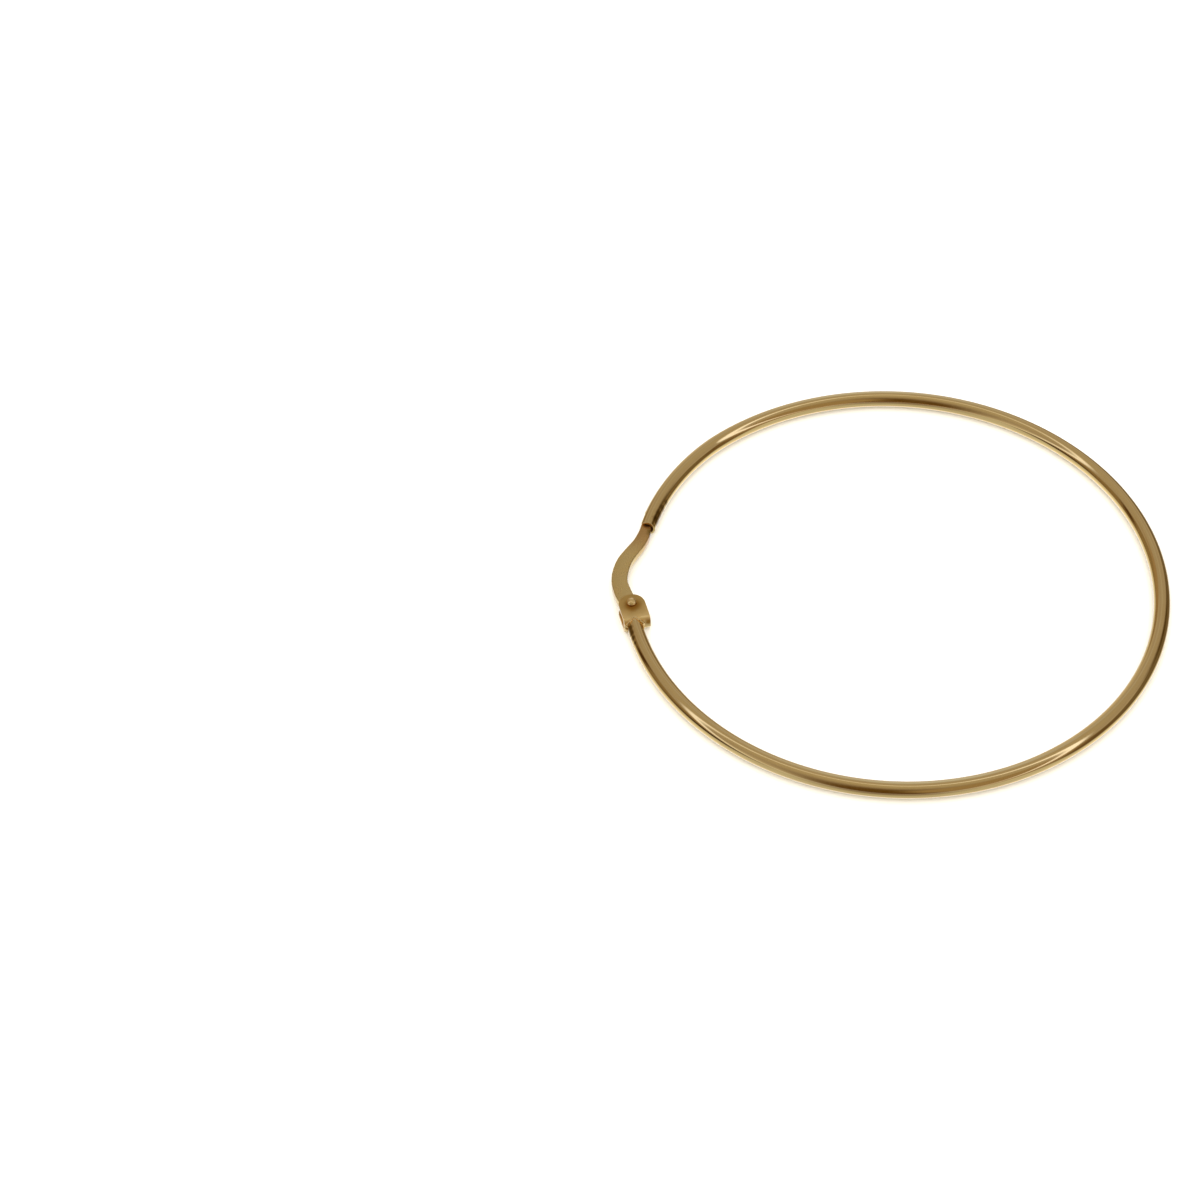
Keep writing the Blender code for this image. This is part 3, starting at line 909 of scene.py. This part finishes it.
# Painted shade streaks thin out along the tube: distance from its end, radius where it is full
WEB_SHADE_STREAK = ((0.55 * MM, 0.2 * MM), (1.1 * MM, 0.17 * MM), (1.7 * MM, 0.1 * MM), (2.3 * MM, 0.0))
MOUTH_SHADE_STREAK = ((1.0 * MM, 0.3 * MM), (1.8 * MM, 0.22 * MM), (2.7 * MM, 0.12 * MM), (3.6 * MM, 0.0))
WEB_SHADE_SIDE = (0.82, 0.57)
MOUTH_SHADE_SIDE = (-0.95, 0.3)
WEB_SHADE_SOFTNESS = 0.3 * MM
MOUTH_SHADE_SOFTNESS = 0.5 * MM
# Painted shade: dark streaks on the tube beside the solder and on its inner side by the mouth
TUBE_SHADE_STREAKS = (
    *((tube_side(WEB_ANGLE + reach / RING_RADIUS, *WEB_SHADE_SIDE), full,
       full + WEB_SHADE_SOFTNESS, PAINTED_STREAK_SHADE) for reach, full in WEB_SHADE_STREAK),
    *((tube_side(MOUTH_ANGLE - reach / RING_RADIUS, *MOUTH_SHADE_SIDE), full,
       full + MOUTH_SHADE_SOFTNESS, PAINTED_STREAK_SHADE) for reach, full in MOUTH_SHADE_STREAK),
)


def make_gold(name, roughness, wander, lines_depth, fineness, stretch, tarnish, patch_size,
              clean=CLEAN_GOLD, stains_and_shades=()):
    material = bpy.data.materials.new(name)
    material.use_nodes = True
    tree = material.node_tree
    shader = tree.nodes["Principled BSDF"]
    shader.inputs["Metallic"].default_value = 1.0
    layout = add(tree, "ShaderNodeUVMap", uv_map="along_and_round")
    lines = add(tree, "ShaderNodeGroup", {"Vector": layout.outputs["UV"], "Fineness": fineness,
                                          "Stretch": stretch}, node_tree=fine_lines)
    patches = add(tree, "ShaderNodeGroup", {"Vector": layout.outputs["UV"], "Size": patch_size,
                                            "Threshold": PATCH_THRESHOLD,
                                            "Softness": PATCH_SOFTNESS}, node_tree=soft_patches)
    dirt = calculate(tree, "MULTIPLY", patches.outputs["Mask"], tarnish)
    colour = add(tree, "ShaderNodeGroup", {"Clean": clean, "Darkened": TARNISHED_GOLD,
                                           "Darken": dirt}, node_tree=gold_tone).outputs[0]
    own_place = add(tree, "ShaderNodeTexCoord") if stains_and_shades else None
    # The marks lay real tarnish and painted shade into the base colour
    for point, full, faded, mark_colour in stains_and_shades:
        spot = add(tree, "ShaderNodeGroup", {"Vector": own_place.outputs["Object"],
                                             "Point": point, "Full": full, "Faded": faded},
                   node_tree=stain_and_shade)
        colour = add(tree, "ShaderNodeGroup", {"Clean": colour, "Darkened": mark_colour,
                                               "Darken": spot.outputs["Mask"]},
                     node_tree=gold_tone).outputs[0]
    tree.links.new(colour, shader.inputs["Base Color"])

    both = calculate(tree, "ADD", patches.outputs["Mask"], lines.outputs["Lines"])
    rough = add(tree, "ShaderNodeMapRange", {"Value": both, "From Min": WANDER_RANGE[0],
                                             "From Max": WANDER_RANGE[1],
                                             "To Min": roughness - wander,
                                             "To Max": roughness + wander})
    tree.links.new(rough.outputs["Result"], shader.inputs["Roughness"])
    bump = add(tree, "ShaderNodeBump", {"Height": lines.outputs["Lines"], "Strength": 1.0,
                                        "Distance": lines_depth})
    tree.links.new(bump.outputs["Normal"], shader.inputs["Normal"])
    return material


mirror_gold = make_gold(
    "mirror_gold", roughness=0.09, wander=0.03, lines_depth=0.0006 * MM, fineness=7.0,
    stretch=40.0, tarnish=0.12, patch_size=3.0, stains_and_shades=TUBE_SHADE_STREAKS)
hinge_gold = make_gold(
    "hinge_gold", roughness=0.34, wander=0.07, lines_depth=0.0025 * MM, fineness=9.0,
    stretch=6.0, tarnish=0.2, patch_size=0.8, stains_and_shades=RIVET_SHADES)
rivet_gold = make_gold(
    "rivet_gold", roughness=0.24, wander=0.05, lines_depth=0.003 * MM, fineness=10.0,
    stretch=1.0, tarnish=0.1, patch_size=0.3)
satin_gold = make_gold(
    "satin_gold", roughness=0.28, wander=0.05, lines_depth=0.002 * MM, fineness=12.0,
    stretch=14.0, tarnish=0.25, patch_size=1.2, clean=WORN_GOLD, stains_and_shades=CLOSING_TARNISH_AND_SHADE)
solder_gold = make_gold(
    "solder_gold", roughness=0.28, wander=0.08, lines_depth=0.004 * MM, fineness=8.0,
    stretch=1.0, tarnish=0.35, patch_size=0.3)
bore_gold = make_gold(
    "bore_gold", roughness=0.5, wander=0.08, lines_depth=0.003 * MM, fineness=5.0,
    stretch=1.0, tarnish=0.5, patch_size=0.6, clean=BORE_GOLD)
for piece, finishes in ((ring, (mirror_gold, bore_gold)), (hinge, (hinge_gold,)),
                        (rivet, (rivet_gold,)), (wire, (satin_gold,)), (seam, (solder_gold,))):
    for finish in finishes:
        piece.data.materials.append(finish)
    print(piece.name, "has", [finish.name for finish in finishes])
bore_faces = sum(polygon.material_index == BORE_SLOT for polygon in ring.data.polygons)
print("the bore has", bore_faces, "faces")

# %% [markdown]
# ## The table
# The earring lies on a plain sheet of warm white paper. A plane is enough. It is lit well above
# white, so its warmth shows only in the thin shade along the ring, where the blue fades first.

# %% The table
FLOOR_HALF = 1.5
PAPER_WHITE = (0.92, 0.88, 0.78, 1)
PAPER_ROUGHNESS = 0.9
floor_corners = [(x * FLOOR_HALF, y * FLOOR_HALF, 0)
                 for x, y in ((-1, -1), (1, -1), (1, 1), (-1, 1))]
floor = new_piece("white_sheet", floor_corners, [(0, 1, 2, 3)])
floor_material = bpy.data.materials.new("white_paper")
floor_material.use_nodes = True
paper = floor_material.node_tree.nodes["Principled BSDF"]
paper.inputs["Base Color"].default_value = PAPER_WHITE
paper.inputs["Roughness"].default_value = PAPER_ROUGHNESS
floor.data.materials.append(floor_material)
floor.visible_glossy = False

# %% [markdown]
# ## The studio
# Polished gold has no colour of its own to show: it shows its surroundings, tinted. The portrait
# was shot in a light tent, so the tent is as much a part of the finish as the metal. Area lights
# would do for a dull object, but a mirror 1.5 mm thick shows their outlines. So the tent is
# painted on the World by direction: a ramp from the floor up to the roof, softly edged dark gaps
# where the walls leave off, and the thin bright rim round the opening that the camera looks
# through, brightest on its left and right. Only glossy rays meet it. Everything else is lit by
# plain white, which keeps the sheet of paper even.

# %% Shared shapes of light
def build_soft_panel():
    """Oval patch of the surroundings: 1 in its middle and 0 outside its soft edge."""
    group, enter, leave = new_group(
        "soft_panel",
        [("Direction", "NodeSocketVector", None), ("Azimuth", "NodeSocketFloat", 0.0),
         ("Elevation", "NodeSocketFloat", 0.0), ("Half Width", "NodeSocketFloat", 0.3),
         ("Half Height", "NodeSocketFloat", 0.3), ("Softness", "NodeSocketFloat", 0.5)],
        [("Mask", "NodeSocketFloat")],
    )
    back = calculate(group, "SUBTRACT", 0.0, enter["Azimuth"])
    level = add(group, "ShaderNodeVectorRotate", {"Vector": enter["Direction"], "Angle": back},
                rotation_type="Z_AXIS")
    faced = add(group, "ShaderNodeVectorRotate", {"Vector": level.outputs[0],
                                                  "Angle": enter["Elevation"]},
                rotation_type="Y_AXIS")
    split = add(group, "ShaderNodeSeparateXYZ", {"Vector": faced.outputs[0]})
    across = calculate(group, "DIVIDE", split.outputs["Y"], enter["Half Width"])
    upward = calculate(group, "DIVIDE", split.outputs["Z"], enter["Half Height"])
    flat = add(group, "ShaderNodeCombineXYZ", {"X": across, "Y": upward})
    reach = add(group, "ShaderNodeVectorMath", {0: flat.outputs[0]}, operation="LENGTH")
    inner = calculate(group, "SUBTRACT", 1.0, enter["Softness"])
    outer = calculate(group, "ADD", 1.0, enter["Softness"])
    oval = soft_step(group, reach.outputs["Value"], inner, outer, 1.0, 0.0)
    ahead = calculate(group, "GREATER_THAN", split.outputs["X"], 0.0)
    group.links.new(calculate(group, "MULTIPLY", oval, ahead), leave["Mask"])
    return group


def build_bright_rim():
    """Thin circle of light round a direction."""
    group, enter, leave = new_group(
        "bright_rim",
        [("Direction", "NodeSocketVector", None), ("Middle", "NodeSocketVector", None),
         ("Radius", "NodeSocketFloat", 1.0), ("Half Width", "NodeSocketFloat", 0.1)],
        [("Mask", "NodeSocketFloat")],
    )
    facing = add(group, "ShaderNodeVectorMath", {0: enter["Direction"], 1: enter["Middle"]},
                 operation="DOT_PRODUCT")
    angle = calculate(group, "ARCCOSINE", facing.outputs["Value"])
    off = calculate(group, "SUBTRACT", angle, enter["Radius"])
    distance = calculate(group, "ABSOLUTE", off)
    mask = soft_step(group, distance, 0.0, enter["Half Width"], 1.0, 0.0)
    group.links.new(mask, leave["Mask"])
    return group


soft_panel = build_soft_panel()
bright_rim = build_bright_rim()
print("shapes of light:", soft_panel.name, bright_rim.name)

# %% [markdown]
# ### The tent's plan
# The numbers below are the plan of the tent, as seen from the earring: bearings run anticlockwise
# from the portrait's right, so 90 is behind the earring and 270 is the camera's side. Heights are
# given as the sine of the elevation for the ramp, and in degrees for the panels and the rim.

# %% The tent's plan
TENT_RAMP = (
    (-1.00, (1.30, 1.40, 1.60)),
    (-0.72, (1.10, 1.20, 1.40)),
    (-0.50, (0.74, 0.82, 0.97)),
    (-0.28, (0.64, 0.70, 0.82)),
    (-0.08, (0.58, 0.61, 0.71)),
    (0.08, (0.54, 0.56, 0.63)),
    (0.35, (0.43, 0.43, 0.49)),
    (0.60, (0.345, 0.34, 0.40)),
    (0.80, (0.37, 0.37, 0.41)),
    (1.00, (0.42, 0.42, 0.44)),
)
# name, bearing, elevation, half width, half height, softness, colour
TENT_PANELS = (
    ("near_floor", 265.0, -42.0, 0.90, 0.75, 0.35, (0.54, 0.61, 0.78)),
    ("opening", 264.7, 15.0, 0.496, 0.665, 0.52, (0.105, 0.062, 0.016)),
    ("left_gap", 157.7, 6.2, 0.727, 0.394, 0.15, (0.23, 0.19, 0.14)),
    ("left_corner", 198.8, -4.6, 0.333, 0.16, 0.79, (0.03, 0.012, 0.0)),
    ("left_post", 161.2, 9.0, 0.075, 0.285, 0.67, (0.056, 0.025, 0.005)),
    ("left_wall", 131.4, 23.2, 0.119, 0.339, 0.58, (0.31, 0.25, 0.20)),
    ("right_gap", 17.3, -0.5, 0.861, 0.405, 0.15, (0.155, 0.130, 0.10)),
    ("right_post", 29.2, 21.4, 0.221, 0.213, 0.71, (0.077, 0.050, 0.01)),
    ("near_gap", 339.1, 3.6, 0.203, 0.388, 0.45, (0.13, 0.094, 0.06)),
    ("far_gleam", 84.3, 17.9, 0.112, 0.362, 0.87, (0.55, 0.65, 1.0)),
    ("right_wall", 305.6, 23.0, 0.506, 0.473, 0.20, (0.305, 0.26, 0.21)),
)
RIM_BEARING = 262.0
RIM_ELEVATION = 46.5
RIM_RADIUS = 56.5
RIM_HALF_WIDTH = 6.0
RIM_COLOUR = (0.80, 1.0, 1.9)
RIM_FAINTEST = 0.29
# bearing, elevation and added strength of the rim's bright stretches; the strength counts up to 1
RIM_STRETCHES = ((343.0, 41.4, 1.20), (183.6, 41.6, 0.55))
RIM_STRETCH_HALF = 0.57
RIM_STRETCH_SOFTNESS = 0.6
WHITE_STRENGTH = 1.85

# %% The light tent
world = bpy.data.worlds.new("light_tent")
bpy.context.scene.world = world
world.use_nodes = True
tree = world.node_tree
tree.nodes.clear()


def from_bearing(bearing, elevation):
    turn, tilt = math.radians(bearing), math.radians(elevation)
    return (math.cos(tilt) * math.cos(turn), math.cos(tilt) * math.sin(turn), math.sin(tilt))


def panel_mask(label, bearing, elevation, half_width, half_height, softness):
    panel = add(tree, "ShaderNodeGroup", {
        "Direction": direction, "Azimuth": math.radians(bearing),
        "Elevation": math.radians(elevation), "Half Width": half_width,
        "Half Height": half_height, "Softness": softness}, node_tree=soft_panel, label=label)
    return panel.outputs["Mask"]


coordinates = add(tree, "ShaderNodeTexCoord")
direction = add(tree, "ShaderNodeVectorRotate", {"Vector": coordinates.outputs["Generated"],
                                                 "Angle": -PHOTO_TURN.to_euler().z},
                rotation_type="Z_AXIS").outputs[0]
split = add(tree, "ShaderNodeSeparateXYZ", {"Vector": direction})
height = add(tree, "ShaderNodeMapRange", {"Value": split.outputs["Z"], "From Min": -1.0})
ramp = add(tree, "ShaderNodeValToRGB", {"Fac": height.outputs["Result"]})
while len(ramp.color_ramp.elements) < len(TENT_RAMP):
    ramp.color_ramp.elements.new(0.5)
for element, (sine, colour) in zip(ramp.color_ramp.elements, TENT_RAMP):
    element.position = (sine + 1) / 2
    element.color = (*colour, 1)
tent = ramp.outputs["Color"]
for *shape, colour in TENT_PANELS:
    tent = mix_colours(tree, panel_mask(*shape), tent, (*colour, 1))
strength = RIM_FAINTEST
for bearing, elevation, added in RIM_STRETCHES:
    stretch = panel_mask("rim_stretch", bearing, elevation, RIM_STRETCH_HALF, RIM_STRETCH_HALF,
                         RIM_STRETCH_SOFTNESS)
    strength = calculate(tree, "MULTIPLY_ADD", stretch, added, strength)
rim = add(tree, "ShaderNodeGroup", {
    "Direction": direction, "Middle": from_bearing(RIM_BEARING, RIM_ELEVATION),
    "Radius": math.radians(RIM_RADIUS), "Half Width": math.radians(RIM_HALF_WIDTH)},
    node_tree=bright_rim)
glow = calculate(tree, "MULTIPLY", rim.outputs["Mask"], strength)
lit = mix_colours(tree, glow, tent, (*RIM_COLOUR, 1), "ADD")

output = add(tree, "ShaderNodeOutputWorld")
tent_light = add(tree, "ShaderNodeBackground", {"Color": lit, "Strength": 1.0})
white_light = add(tree, "ShaderNodeBackground", {"Color": (1, 1, 1, 1),
                                                 "Strength": WHITE_STRENGTH})
path = add(tree, "ShaderNodeLightPath")
which = add(tree, "ShaderNodeMixShader", {0: path.outputs["Is Glossy Ray"]})
tree.links.new(white_light.outputs[0], which.inputs[1])
tree.links.new(tent_light.outputs[0], which.inputs[2])
tree.links.new(which.outputs[0], output.inputs["Surface"])
print("the tent has", len(TENT_PANELS), "soft panels and one bright rim")

# %% [markdown]
# ## Handing the pieces to the frame
# Each piece rides on the body that carries it. The ring, the hinge, the solder and the rivet stay
# together, and the wire, which swings about the rivet, rides on a body of its own.

# %% Ride and replace
for piece in (ring, hinge, seam):
    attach(piece, "hoop")
    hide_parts("hoop_tube")
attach(rivet, "hoop")
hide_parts("hinge_pin")
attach(wire, "ear_wire")
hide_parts("ear_wire")
